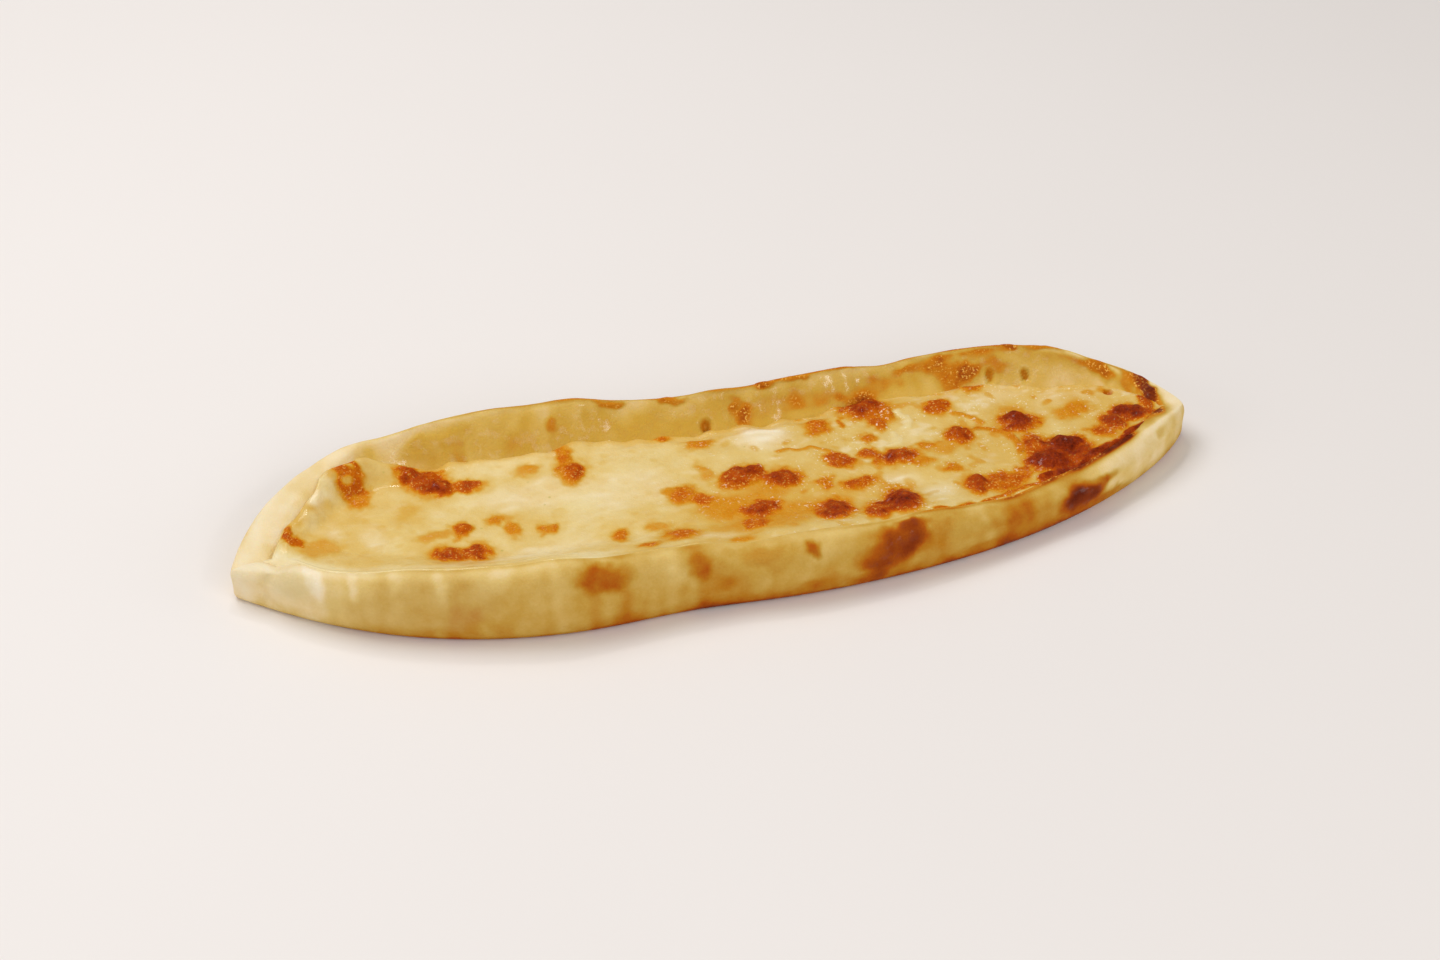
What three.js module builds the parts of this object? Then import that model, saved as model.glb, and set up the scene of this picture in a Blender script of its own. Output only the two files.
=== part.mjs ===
import * as THREE from "three";

// A boat-shaped bread pie: an open trough of baked dough holding labneh and melted cheese.
// Millimetres. X runs along the boat, Y across it towards the back, Z up from its flat base.

// Driving dimensions of the dough
const boatLength = 320;
const tipRim = 13; // height of the rim at both points of the boat
const tipRound = 2; // softens the points in plan
const tipFall = 8; // the higher, the closer to the points the rim and the filling start to fall
const tipCrest = 2; // inset of the rim's crest at both points
const crestWidth = 0.8; // flat top of the rim along the sides
const endBand = { left: 11, right: 7.5 }; // flat top of the rim at each point
const bellyHeight = 8; // height of the widest line of the outer wall
const baseRadius = 3; // rounding between the flat base and the outer wall
const baseTuck = 0.6; // the top of that rounding lies this far inside the belly
const lipWidth = 4; // run of the slope from the rim's flat top to the inner wall
const lipDrop = 5; // height of that slope
const floorHeight = 5; // dough under the filling
const floorInset = 19; // the trough's floor starts this far inside the belly
const rimWave = { height: 0.4, turns: 3.7, fineShare: 0.6, fineTurns: 6.5 }; // hand-shaped unevenness

// Driving dimensions of the filling
const fillingGap = 0.5; // clearance between filling and trough
const fillingEndGap = 3; // the filling stops this far inside the rim's flat top at the points
const fillingLevel = 13;
const fillingTipDrop = 2; // the level falls this much towards the points
const fillingWave = { height: 0.5, longX: 182, longY: -57, shortX: 82, shortY: 107 }; // wave lengths
const blisterFullness = 1.5; // 1 is a round dome, more is a softer one
const blisterClear = 4; // blisters and waves fade out over this distance from the dough

// Fineness of the facets
const boatSteps = 110; // along each side of the boat
const baseSteps = 3;
const wallSteps = 5;
const fillingSteps = 86; // along the filling
const topSteps = 20; // across the filling
const lipLine = { highest: 0.15, lowest: 0.6 }; // limits of the hidden facet line at the lip's end
const lowLine = 0.8; // the hidden facet line below it: shares of the way from edge to keel
const tipCrowding = 0.5; // share of the steps that crowd towards the points

const halfLength = boatLength / 2;
const quarterTurn = Math.PI / 2;
const fullTurn = Math.PI * 2;
const { clamp, lerp, smoothstep, degToRad } = THREE.MathUtils;

// The two sides of the boat, with t running along it from -1 to 1. crest is the inset of the rim's
// crest from the belly, climb the distance over which the filling rises to its edge. The rim's flat
// top widens from bandFrom to the points. rim is the height of the rim above its points, edge how
// far the filling's edge lies below the crest.
const front = {
  sign: -1,
  belly: 50.5,
  crest: 9,
  climb: 18,
  bandFrom: { left: 0.85, right: 0.88 },
  leftOutline: { squareness: 3.5, fullness: 1.07, width: 1 },
  rightOutline: { squareness: 2.65, fullness: 0.83, width: 1 },
  waist: { at: -0.16, reach: 0.16, height: 0.05 },
  rim: {
    base: 5.2,
    humps: [
      { at: -0.48, reach: 0.32, height: 5 },
      { at: 0.65, reach: 0.25, height: -5 },
    ],
    ramps: [],
  },
  edge: {
    base: 0.8,
    humps: [{ at: -0.1, reach: 0.3, height: 0.6 }],
    ramps: [],
  },
};
const back = {
  sign: 1,
  belly: 47,
  crest: 4,
  climb: 9,
  bandFrom: { left: 0.68, right: 0.88 },
  leftOutline: { squareness: 7, fullness: 0.87, width: 1 },
  rightOutline: { squareness: 3.7, fullness: 0.68, width: 0.97 },
  waist: { at: 0.02, reach: 0.2, height: 0.065 },
  rim: {
    base: 6.8,
    humps: [
      { at: -0.48, reach: 0.4, height: 5.1 },
      { at: 0.02, reach: 0.2, height: -1 },
      { at: 0.72, reach: 0.16, height: 4.6 },
    ],
    ramps: [],
  },
  edge: {
    base: 0.6,
    humps: [{ at: 0.68, reach: 0.15, height: 1.5 }],
    ramps: [
      { from: -0.8, to: -0.56, height: 11.4 },
      { from: -0.5, to: 0, height: -2.5 },
      { from: 0.78, to: 1, height: -8.9 },
    ],
  },
};
const outlineTurn = 0.4; // the left outline passes into the right one between -outlineTurn and this

// Blisters that the oven raised on the filling: place of the middle, length, width, height, and the
// turn of the length from the X axis in degrees.
const blisters = [
  { x: -118, y: 27, long: 12, wide: 11, rise: 1.3, turn: 0 },
  { x: -94, y: 24, long: 18, wide: 13, rise: 3.2, turn: -25 },
  { x: -88, y: -2, long: 9, wide: 7, rise: 1.3, turn: 0 },
  { x: -94, y: -15, long: 11, wide: 8, rise: 1.5, turn: 0 },
  { x: -85, y: -15, long: 10, wide: 7, rise: 1.4, turn: 0 },
  { x: -47, y: 18, long: 10, wide: 12, rise: 1.6, turn: 0 },
  { x: -24, y: -29, long: 13, wide: 7, rise: 1.1, turn: 0 },
  { x: 5, y: -1, long: 16, wide: 9, rise: 2, turn: 20 },
  { x: 16, y: -3, long: 13, wide: 10, rise: 2, turn: 0 },
  { x: 6, y: -19, long: 14, wide: 8, rise: 1.6, turn: 0 },
  { x: 16, y: 20, long: 15, wide: 13, rise: 1.6, turn: 0 },
  { x: 28, y: -27, long: 12, wide: 10, rise: 2, turn: 0 },
  { x: 39, y: -2, long: 11, wide: 8, rise: 1.5, turn: -20 },
  { x: 55, y: 26, long: 15, wide: 14, rise: 3, turn: 0 },
  { x: 57, y: 15, long: 8, wide: 9, rise: 1.5, turn: 0 },
  { x: 56, y: -5, long: 16, wide: 11, rise: 2, turn: 10 },
  { x: 49, y: -31, long: 12, wide: 13, rise: 3, turn: 0 },
  { x: 75, y: -26, long: 11, wide: 10, rise: 1.8, turn: 0 },
  { x: 80, y: 3, long: 11, wide: 11, rise: 2.2, turn: 0 },
  { x: 78, y: 19, long: 11, wide: 7, rise: 1.3, turn: 0 },
  { x: 101, y: 4, long: 16, wide: 12, rise: 2.6, turn: 0 },
  { x: 108, y: -16, long: 23, wide: 16, rise: 3, turn: -10 },
  { x: 130, y: -6, long: 26, wide: 9, rise: 1.6, turn: 28 },
];

// Humps and ramps on a base value along the boat
const humpAt = ({ at, reach, height }, t) => height * Math.exp(-(((t - at) / reach) ** 2));
const rampAt = ({ from, to, height }, t) => height * smoothstep(t, from, to);
function alongBoat({ base, humps, ramps }, t) {
  const raised = humps.reduce((sum, hump) => sum + humpAt(hump, t), base);
  return ramps.reduce((sum, ramp) => sum + rampAt(ramp, t), raised);
}

// The swelling of the rim dies away at the points of the boat
function rimHeight(side, t) {
  const body = 1 - Math.abs(t) ** tipFall;
  const { height, turns, fineShare, fineTurns } = rimWave;
  const fine = fineShare * Math.sin(fullTurn * fineTurns * t);
  const wave = height * (Math.sin(fullTurn * turns * t + side.sign) + fine);
  return tipRim + body * (alongBoat(side.rim, t) + wave);
}

// Share of the belly's half width, from a flattened and sharpened circle
const outlineAt = ({ squareness, fullness, width }, t) => {
  return width * (1 - Math.abs(t) ** squareness) ** fullness;
};

// Half width at the belly, with the corner at each point of the boat rounded off
function bellyWidth(side, t) {
  const towardsRight = smoothstep(t, -outlineTurn, outlineTurn);
  const outline = lerp(outlineAt(side.leftOutline, t), outlineAt(side.rightOutline, t), towardsRight);
  const share = Math.max(outline - humpAt(side.waist, t), 0);
  const round = tipRound / side.belly;
  return side.belly * Math.sqrt((share * (share + round)) / (1 + round));
}

// A point at height z, inset from the belly line at t
const placeOnSide = (side, t, inset, z) => {
  const across = bellyWidth(side, t) * (1 - inset / side.belly);
  return new THREE.Vector3(t * (halfLength - inset), side.sign * across, z);
};

// Inset of the rim's crest, and how far its flat top reaches from there
const crestInset = (side, t) => lerp(side.crest, tipCrest, t ** tipFall);
function bandWidth({ bandFrom }, t) {
  const left = (endBand.left - crestWidth) * smoothstep(-t, bandFrom.left, 1);
  return crestWidth + left + (endBand.right - crestWidth) * smoothstep(t, bandFrom.right, 1);
}

// Section of the dough from the edge of its base, over the rim, to the trough's floor: [inset, z]
function doughSection(side, t) {
  const rim = rimHeight(side, t);
  const crest = crestInset(side, t);
  const lipStart = crest + bandWidth(side, t);
  const section = [];
  for (let i = 0; i <= baseSteps; i++) {
    const angle = (i / baseSteps) * quarterTurn;
    section.push([baseTuck + baseRadius * (1 - Math.sin(angle)), baseRadius * (1 - Math.cos(angle))]);
  }
  for (let i = 0; i <= wallSteps; i++) {
    const angle = (i / wallSteps) * quarterTurn;
    const z = bellyHeight + (rim - bellyHeight) * Math.sin(angle);
    section.push([crest * (1 - Math.cos(angle)), z]);
  }
  section.push([lipStart, rim], [lipStart + lipWidth, rim - lipDrop], [floorInset, floorHeight]);
  return section;
}

// Inset of the inner wall at height z
function innerInset(side, t, z) {
  const rim = rimHeight(side, t);
  const depth = Math.max(rim - z, 0);
  const lipStart = crestInset(side, t) + bandWidth(side, t);
  const lipEnd = lipStart + lipWidth;
  if (depth < lipDrop) {
    return lerp(lipStart, lipEnd, depth / lipDrop);
  }
  return lerp(lipEnd, floorInset, (depth - lipDrop) / (rim - lipDrop - floorHeight));
}

// Steps from -1 to 1, closer together near the ends
const crowdedSteps = (count) => {
  const steps = [];
  for (let i = 0; i <= count; i++) {
    const u = (2 * i) / count - 1;
    steps.push(lerp(u, Math.sin(u * quarterTurn), tipCrowding));
  }
  return steps;
};

function meshFrom(name, points, triangles, material) {
  const geometry = new THREE.BufferGeometry().setFromPoints(points);
  geometry.setIndex(triangles);
  geometry.computeVertexNormals();
  const mesh = new THREE.Mesh(geometry, material);
  mesh.name = name;
  return mesh;
}

// Triangles between closed rings of equal size that follow each other in the list of points
function ringTriangles(ringCount, ringSize) {
  const triangles = [];
  for (let ring = 0; ring < ringCount - 1; ring++) {
    for (let i = 0; i < ringSize; i++) {
      const a = ring * ringSize + i;
      const b = ring * ringSize + ((i + 1) % ringSize);
      triangles.push(a, b, b + ringSize, a, b + ringSize, a + ringSize);
    }
  }
  return triangles;
}

// Dough: rings round the boat, one for each point of the section. Each ring runs along the front
// from the left point to the right one and returns along the back.
function doughBoat() {
  const steps = crowdedSteps(boatSteps);
  const stations = steps.map((t) => ({ side: front, t }));
  for (let i = boatSteps - 1; i > 0; i--) {
    stations.push({ side: back, t: steps[i] });
  }
  const sections = stations.map(({ side, t }) => doughSection(side, t));
  const ringCount = sections[0].length;
  const ringSize = stations.length;
  const points = [];
  for (let ring = 0; ring < ringCount; ring++) {
    stations.forEach(({ side, t }, i) => points.push(placeOnSide(side, t, ...sections[i][ring])));
  }
  const triangles = ringTriangles(ringCount, ringSize);

  // The base and the floor of the trough are closed by strips from front to back
  const lastRing = (ringCount - 1) * ringSize;
  for (let i = 0; i < boatSteps; i++) {
    const frontHere = i;
    const frontNext = i + 1;
    const backHere = (ringSize - i) % ringSize;
    const backNext = ringSize - i - 1;
    if (i < boatSteps - 1) {
      triangles.push(frontHere, backNext, frontNext);
      triangles.push(lastRing + frontHere, lastRing + frontNext, lastRing + backNext);
    }
    if (i > 0) {
      triangles.push(frontHere, backHere, backNext);
      triangles.push(lastRing + frontHere, lastRing + backNext, lastRing + backHere);
    }
  }
  const crust = new THREE.MeshStandardMaterial({ color: 0xd2a65c, roughness: 0.75, metalness: 0 });
  return meshFrom("dough_boat", points, triangles, crust);
}

// Where the filling meets the dough at X = x, a gap short of the inner wall. heightAt gives the
// height of the meeting point from t, which is found by halving its range.
function fillingContact(side, x, heightAt) {
  const rounds = 30;
  let low = -1;
  let high = 1;
  let contact = null;
  for (let round = 0; round < rounds; round++) {
    const t = (low + high) / 2;
    const z = heightAt(t);
    contact = placeOnSide(side, t, innerInset(side, t, z) + fillingGap, z);
    if (contact.x < x) {
      low = t;
    } else {
      high = t;
    }
  }
  return contact;
}

// Lowest height of the filling at X = x: the floor, or the slope of the trough's pointed end
function keelHeight(x) {
  const rounds = 20;
  const sharpest = 0.995; // t at the end of the keel, just short of the point
  const reach = Math.abs(x) / sharpest;
  let low = floorHeight + fillingGap;
  let high = tipRim;
  if (reach < halfLength - floorInset - fillingGap) {
    return low;
  }
  for (let round = 0; round < rounds; round++) {
    const middle = (low + high) / 2;
    const wallReach = halfLength - innerInset(front, Math.sign(x) * sharpest, middle) - fillingGap;
    if (wallReach < reach) {
      low = middle;
    } else {
      high = middle;
    }
  }
  return high;
}

// Height of one blister at a point, a dome that meets the surface smoothly
function blisterHeight({ x, y, long, wide, rise, turn }, atX, atY) {
  const angle = degToRad(turn);
  const along = ((atX - x) * Math.cos(angle) + (atY - y) * Math.sin(angle)) / (long / 2);
  const across = ((atY - y) * Math.cos(angle) - (atX - x) * Math.sin(angle)) / (wide / 2);
  const share = Math.max(1 - along ** 2 - across ** 2, 0);
  return rise * share ** blisterFullness;
}

// Top of the filling between its two edges at X = x
function fillingTop(x, y, frontEdge, backEdge) {
  const t = x / halfLength;
  const level = fillingLevel - fillingTipDrop * t ** tipFall;
  const frontAway = y - frontEdge.y;
  const backAway = backEdge.y - y;
  const frontShare = 1 - smoothstep(frontAway, 0, front.climb);
  const backShare = 1 - smoothstep(backAway, 0, back.climb);
  const climb = frontShare * (frontEdge.z - level) + backShare * (backEdge.z - level);
  const clear = smoothstep(Math.min(frontAway, backAway), 0, blisterClear);
  const { height, longX, longY, shortX, shortY } = fillingWave;
  const shortWave = Math.sin(fullTurn * (x / shortX + y / shortY));
  const wave = height * shortWave * Math.cos(fullTurn * (x / longX + y / longY));
  const raised = Math.max(...blisters.map((blister) => blisterHeight(blister, x, y)));
  return level + climb / Math.max(frontShare + backShare, 1) + clear * (wave + raised);
}

// Filling: closed sections from the right point to the left one, each over the relief from front to
// back and home again under the filling along the trough.
function labnehCheeseFilling() {
  const reach = (end) => halfLength - crestInset(front, end) - bandWidth(front, end) - fillingEndGap;
  const points = [];
  let sectionSize = 0;
  let keelPoint = 0;
  for (const step of crowdedSteps(fillingSteps).toReversed()) {
    const x = step * reach(Math.sign(step));
    const keel = keelHeight(x);
    const [frontEdge, backEdge] = [front, back].map((side) =>
      fillingContact(side, x, (t) => rimHeight(side, t) - alongBoat(side.edge, t)),
    );
    const section = [];
    for (let i = 0; i <= topSteps; i++) {
      const y = lerp(frontEdge.y, backEdge.y, i / topSteps);
      section.push(new THREE.Vector3(x, y, fillingTop(x, y, frontEdge, backEdge)));
    }
    const hiddenSide = (side, edge) => {
      const down = (share) => lerp(edge.z, keel, share);
      const lipEnd = (t) => clamp(rimHeight(side, t) - lipDrop, down(lipLine.lowest), down(lipLine.highest));
      const heights = [lipEnd, () => down(lowLine), () => keel];
      return heights.map((heightAt) => fillingContact(side, x, heightAt).setX(x));
    };
    section.push(...hiddenSide(back, backEdge));
    keelPoint = section.length - 1;
    section.push(...hiddenSide(front, frontEdge).toReversed());
    sectionSize = section.length;
    points.push(...section);
  }
  const triangles = ringTriangles(fillingSteps + 1, sectionSize);

  // Both ends are closed by a fan from the keel
  const lastSection = fillingSteps * sectionSize;
  for (let i = 1; i < sectionSize - 1; i++) {
    const here = (keelPoint + i) % sectionSize;
    const next = (here + 1) % sectionSize;
    triangles.push(keelPoint, next, here);
    triangles.push(lastSection + keelPoint, lastSection + here, lastSection + next);
  }
  const cheese = new THREE.MeshStandardMaterial({ color: 0xe0b770, roughness: 0.4, metalness: 0 });
  return meshFrom("labneh_cheese_filling", points, triangles, cheese);
}

const dough = doughBoat();
const filling = labnehCheeseFilling();

// The boat's own middle is the origin
dough.geometry.computeBoundingBox();
const middle = dough.geometry.boundingBox.getCenter(new THREE.Vector3());
const pie = new THREE.Group();
pie.position.set(-middle.x, -middle.y, 0);
pie.add(dough, filling);

export default pie;
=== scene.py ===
import math

import bpy
import numpy as np
from mathutils import Euler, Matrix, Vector


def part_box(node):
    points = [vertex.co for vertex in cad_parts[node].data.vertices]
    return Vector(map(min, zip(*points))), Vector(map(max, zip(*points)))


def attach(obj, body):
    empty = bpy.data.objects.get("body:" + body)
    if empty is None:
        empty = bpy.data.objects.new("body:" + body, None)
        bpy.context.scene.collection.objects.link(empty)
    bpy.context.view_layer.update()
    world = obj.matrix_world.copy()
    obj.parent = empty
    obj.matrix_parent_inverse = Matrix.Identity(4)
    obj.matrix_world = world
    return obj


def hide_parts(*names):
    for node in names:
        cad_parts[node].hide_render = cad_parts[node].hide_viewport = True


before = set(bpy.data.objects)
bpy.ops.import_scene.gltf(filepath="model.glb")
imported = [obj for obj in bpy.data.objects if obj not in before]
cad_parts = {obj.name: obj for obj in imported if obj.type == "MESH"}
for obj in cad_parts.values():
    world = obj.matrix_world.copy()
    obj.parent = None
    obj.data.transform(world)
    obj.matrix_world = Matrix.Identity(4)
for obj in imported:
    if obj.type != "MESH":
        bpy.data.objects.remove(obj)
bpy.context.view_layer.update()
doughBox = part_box("dough_boat")
mm = 0.001
print("frame:", ", ".join(sorted(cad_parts)))

# camera at the photo's viewing angle
view = {
    "lens": 70.0,
    "sensor": 36.0,
    "round": -16.4,   # degrees to the left of straight on
    "up": 36.0,   # degrees above the horizon
    "away": 0.92,
    "target": (0.0031, 0.0195, 0.0),
}


def addObject(name, data):
    thing = bpy.data.objects.new(name, data)
    bpy.context.collection.objects.link(thing)
    return thing


def addCamera():
    turn, rise = math.radians(view["round"]), math.radians(view["up"])
    aim = Vector(view["target"])
    back = Vector((math.sin(turn) * math.cos(rise), -math.cos(turn) * math.cos(rise), math.sin(rise)))
    data = bpy.data.cameras.new("photoCamera")
    data.lens = view["lens"]
    data.sensor_width = view["sensor"]
    camera = addObject("photoCamera", data)
    camera.location = aim + back * view["away"]
    camera.rotation_euler = (-back).to_track_quat("-Z", "Y").to_euler()
    bpy.context.scene.camera = camera


addCamera()
print("camera placed")

# the boat's form in millimetres, as its solids have it: x along, y across, z up
boat = {
    "halfLength": (doughBox[1].x - doughBox[0].x) / 2 / mm,
    "tipRim": 13.0,   # rim height at both points
    "tipRound": 2.0,   # softens the points in plan
    "tipFall": 8.0,   # how late the rim falls towards the points
    "tipCrest": 2.0,   # inset of the crest at both points
    "crestWidth": 0.8,   # flat top of the rim along the sides
    "endBand": {"left": 11.0, "right": 7.5},   # flat top of the rim at each point
    "bellyHeight": 8.0,   # widest line of the outer wall
    "baseRadius": 3.0,
    "baseTuck": 0.6,
    "baseReach": 0.92,   # how far in the base's rows run, as a share of the belly
    "lipWidth": 4.0,   # from the rim's flat top to the wall of the trough
    "lipDrop": 5.0,
    "floorHeight": 5.0,
    "floorInset": 19.0,
    "outlineTurn": 0.4,
    "rimWave": {"height": 0.4, "turns": 3.7, "fineShare": 0.6, "fineTurns": 6.5},
    "edgeLumps": {"aside": 60, "size": 7.0, "seed": 60},   # along the filling's edge
}
# humps are (at, reach, height) and ramps (from, to, height) along the boat, which runs from -1 to 1
front = {
    "sign": -1.0, "belly": 50.5, "crest": 9.0, "climb": 18.0, "bandFrom": {"left": 0.85, "right": 0.88},
    "left": (3.5, 1.07, 1.0), "right": (2.65, 0.83, 1.0), "waist": (-0.16, 0.16, 0.05),
    "rim": {"base": 5.2, "humps": [(-0.48, 0.32, 5.0), (0.65, 0.25, -5.0)]},
    "edge": {"base": 0.8, "humps": [(-0.1, 0.3, 0.6)]},
    # the filling comes up to the crest
    "edgeLift": {"base": 1.1, "ramps": [(-0.2, 0.2, -0.6)]},
    "edgeTop": 0.1, "edgeWander": 0.45,
}
back = {
    "sign": 1.0, "belly": 47.0, "crest": 4.0, "climb": 9.0, "bandFrom": {"left": 0.68, "right": 0.88},
    "left": (7.0, 0.87, 1.0), "right": (3.7, 0.68, 0.97), "waist": (0.02, 0.2, 0.065),
    "rim": {"base": 6.8, "humps": [(-0.48, 0.4, 5.1), (0.02, 0.2, -1.0), (0.72, 0.16, 4.6)]},
    "edge": {"base": 0.6, "humps": [(0.68, 0.15, 1.5)],
             "ramps": [(-0.8, -0.56, 11.4), (-0.5, 0.0, -2.5), (0.78, 1.0, -8.9)]},
    "edgeLift": {"base": 0.0}, "edgeTop": -0.15, "edgeWander": 1.3,
}
halfTurn = math.pi


def smooth(low, high, value):
    # 0 up to low, 1 from high on, an S curve between them
    share = np.clip((value - low) / (high - low), 0, 1)
    return share * share * (3 - 2 * share)


def hump(value, at, reach):
    # a bell of height 1 that has fallen to about a third at its reach
    return np.exp(-((value - at) / reach) ** 2)


def blend(a, b, share):
    return a + (b - a) * share


def ramp(low, high):
    # a function of a value: 0 up to low, 1 from high on
    return lambda value: smooth(low, high, value)


def span(rise, top, edge, fall):
    # a function of a value: 1 from top to edge, 0 outside rise and fall
    return lambda value: smooth(rise, top, value) * smooth(fall, edge, value)


def bell(at, reach):
    # a hump as a function of a value
    return lambda value: hump(value, at, reach)


def limited(limits, measures):
    # the product of ramps, spans and bells that keeps something to its place
    share = 1.0
    for measure, limit in limits.items():
        share = share * limit(measures[measure])
    return share


def washed(washes, regions, measures):
    # all washes added up, each one's amount in its region and within its limits
    return sum(
        amount * regions[region] * limited(limits, measures)
        for region, rows in washes.items() for amount, limits in rows
    )


def alongBoat(shape, t):
    # a base value with humps and ramps along the boat added to it
    raised = sum(height * hump(t, at, reach) for at, reach, height in shape.get("humps", []))
    ramped = sum(height * smooth(low, high, t) for low, high, height in shape.get("ramps", []))
    return shape["base"] + raised + ramped


def rimHeight(side, t):
    # the rim's swell and its hand-shaped waves, dying away at the points
    wave = boat["rimWave"]
    fine = wave["fineShare"] * np.sin(2 * halfTurn * wave["fineTurns"] * t)
    swell = wave["height"] * (np.sin(2 * halfTurn * wave["turns"] * t + side["sign"]) + fine)
    body = 1 - np.abs(t) ** boat["tipFall"]
    return boat["tipRim"] + body * (alongBoat(side["rim"], t) + swell)


def bellyWidth(side, t):
    # half width: a flattened circle on the left blended into another on the right, less the waist
    left, right = [
        width * np.clip(1 - np.abs(t) ** squareness, 0, 1) ** fullness
        for squareness, fullness, width in (side["left"], side["right"])
    ]
    at, reach, depth = side["waist"]
    share = blend(left, right, smooth(-boat["outlineTurn"], boat["outlineTurn"], t))
    share = np.clip(share - depth * hump(t, at, reach), 0, None)
    tip = boat["tipRound"] / side["belly"]
    return side["belly"] * np.sqrt(share * (share + tip) / (1 + tip))


def placeOnSide(side, t, inset, z):
    # a point this far inside the belly line at t
    y = side["sign"] * bellyWidth(side, t) * (1 - inset / side["belly"])
    return np.stack(np.broadcast_arrays(t * (boat["halfLength"] - inset), y, z), -1)


def crestInset(side, t):
    # inset of the rim's crest, narrowing towards both points
    return blend(side["crest"], boat["tipCrest"], np.abs(t) ** boat["tipFall"])


def bandWidth(side, t):
    # width of the rim's flat top, growing towards both points
    narrow, band, start = boat["crestWidth"], boat["endBand"], side["bandFrom"]
    left, right = smooth(start["left"], 1, -t), smooth(start["right"], 1, t)
    return narrow + (band["left"] - narrow) * left + (band["right"] - narrow) * right


def innerInset(side, t, z):
    # inset of the trough's wall at height z: down the lip, then steeper to the floor
    depth = np.clip(rimHeight(side, t) - z, 0, None)
    lipStart = crestInset(side, t) + bandWidth(side, t)
    lip = lipStart + boat["lipWidth"] * depth / boat["lipDrop"]
    share = (depth - boat["lipDrop"]) / (rimHeight(side, t) - boat["lipDrop"] - boat["floorHeight"])
    wall = blend(lipStart + boat["lipWidth"], boat["floorInset"], share)
    return np.where(depth < boat["lipDrop"], lip, wall)


# from the form's middle line to the frame's
acrossShift = doughBox[0].y / mm + bellyWidth(front, np.linspace(-1, 1, 2001)).max()

# the lattice stands askew, so that no lump lines up with the boat
latticeTurn = np.array(Euler((0.6, 0.5, 0.7)).to_matrix())


def lumps(points, size, seed):
    # random heights from -1 to 1 on a cubic lattice of this spacing, blended smoothly in between
    lattice = np.random.default_rng(seed).uniform(-1, 1, (40, 40, 40))
    cell = points @ latticeTurn / size
    low = np.floor(cell).astype(int)
    share = cell - low
    share = share * share * (3 - 2 * share)
    total = np.zeros(points.shape[:-1])
    for corner in np.ndindex(2, 2, 2):
        weight = np.prod(np.where(corner, share, 1 - share), axis=-1)
        at = (low + corner) % len(lattice)
        total += weight * lattice[at[..., 0], at[..., 1], at[..., 2]]
    return total


def layered(points, layers):
    # lumps of several sizes added up, each times its height
    return sum(height * lumps(points, size, seed) for size, height, seed in layers)


def fillingEdge(side, t):
    # height of the filling's edge: below the rim as in the solid, and uneven
    along, uneven = t * boat["halfLength"], boat["edgeLumps"]
    line = np.stack([along, along * 0 + uneven["aside"] * side["sign"], along * 0], -1)
    height = rimHeight(side, t) - alongBoat(side["edge"], t) + alongBoat(side["edgeLift"], t)
    height += side["edgeWander"] * lumps(line, uneven["size"], uneven["seed"])
    return np.minimum(height, rimHeight(side, t) + side["edgeTop"])


def spotEdge(along, up, long, wide, turn):
    # millimetres outside an ellipse's rim, less than 0 inside it
    angle = math.radians(turn)
    a = (along * math.cos(angle) + up * math.sin(angle)) / (long / 2)
    b = (up * math.cos(angle) - along * math.sin(angle)) / (wide / 2)
    return (np.hypot(a, b) - 1) * (long + wide) / 4


def spotDome(edge, long, wide):
    # 1 in the middle of a spot, 0 on its rim and outside
    return np.clip(1 - (1 + edge * 4 / (long + wide)) ** 2, 0, 1)


def spotShare(edge, long, wide, soft):
    # 1 in the middle of a spot, falling softly to 0 a little outside its rim
    radius = (long + wide) / 4
    return 1 - smooth(-soft * radius, 0.2 * radius + 1.0, edge)


def lineReach(x, y, ends, width):
    # distance from a bent line through three points, 1 at half its width, by short straight stretches
    start, bend, end = [np.array(point, dtype=float) for point in ends]
    share = np.linspace(0, 1, 13)[:, None]
    path = (1 - share) ** 2 * start + 2 * share * (1 - share) * bend + share ** 2 * end
    nearest = np.full(x.shape, np.inf)
    for (startX, startY), (stepX, stepY) in zip(path[:-1], np.diff(path, axis=0)):
        along = ((x - startX) * stepX + (y - startY) * stepY) / (stepX ** 2 + stepY ** 2)
        along = np.clip(along, 0, 1)
        nearest = np.minimum(nearest, np.hypot(x - startX - along * stepX, y - startY - along * stepY))
    return nearest / (width / 2)


def addPiece(name, points, faces, fields, material):
    mesh = bpy.data.meshes.new(name)
    placed = (points.reshape(-1, 3) + (0, acrossShift, 0)) * mm
    mesh.from_pydata(placed.tolist(), [], faces)
    for field, values in fields.items():
        layer = mesh.attributes.new(field, "FLOAT", "POINT")
        layer.data.foreach_set("value", values.ravel().astype(np.float32))
    mesh.polygons.foreach_set("use_smooth", np.ones(len(mesh.polygons), dtype=bool))
    mesh.materials.append(material)
    piece = addObject(name, mesh)
    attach(piece, "root")
    print(f"{name}: {len(mesh.vertices)} points, {len(mesh.polygons)} faces")
    return piece


def gridFaces(rows, columns):
    # four-sided faces between closed rows that follow each other
    here = np.arange(rows - 1)[:, None] * columns + np.arange(columns)
    beside = np.arange(rows - 1)[:, None] * columns + (np.arange(columns) + 1) % columns
    return np.stack([here, beside, beside + columns, here + columns], -1).reshape(-1, 4).tolist()


def tint(red, green, blue):
    # a colour from 0 to 255 as a screen shows it, turned into the shader's linear values
    share = np.array([red, green, blue]) / 255
    linear = np.where(share <= 0.04045, share / 12.92, ((share + 0.055) / 1.055) ** 2.4)
    return (*linear.tolist(), 1.0)


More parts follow.
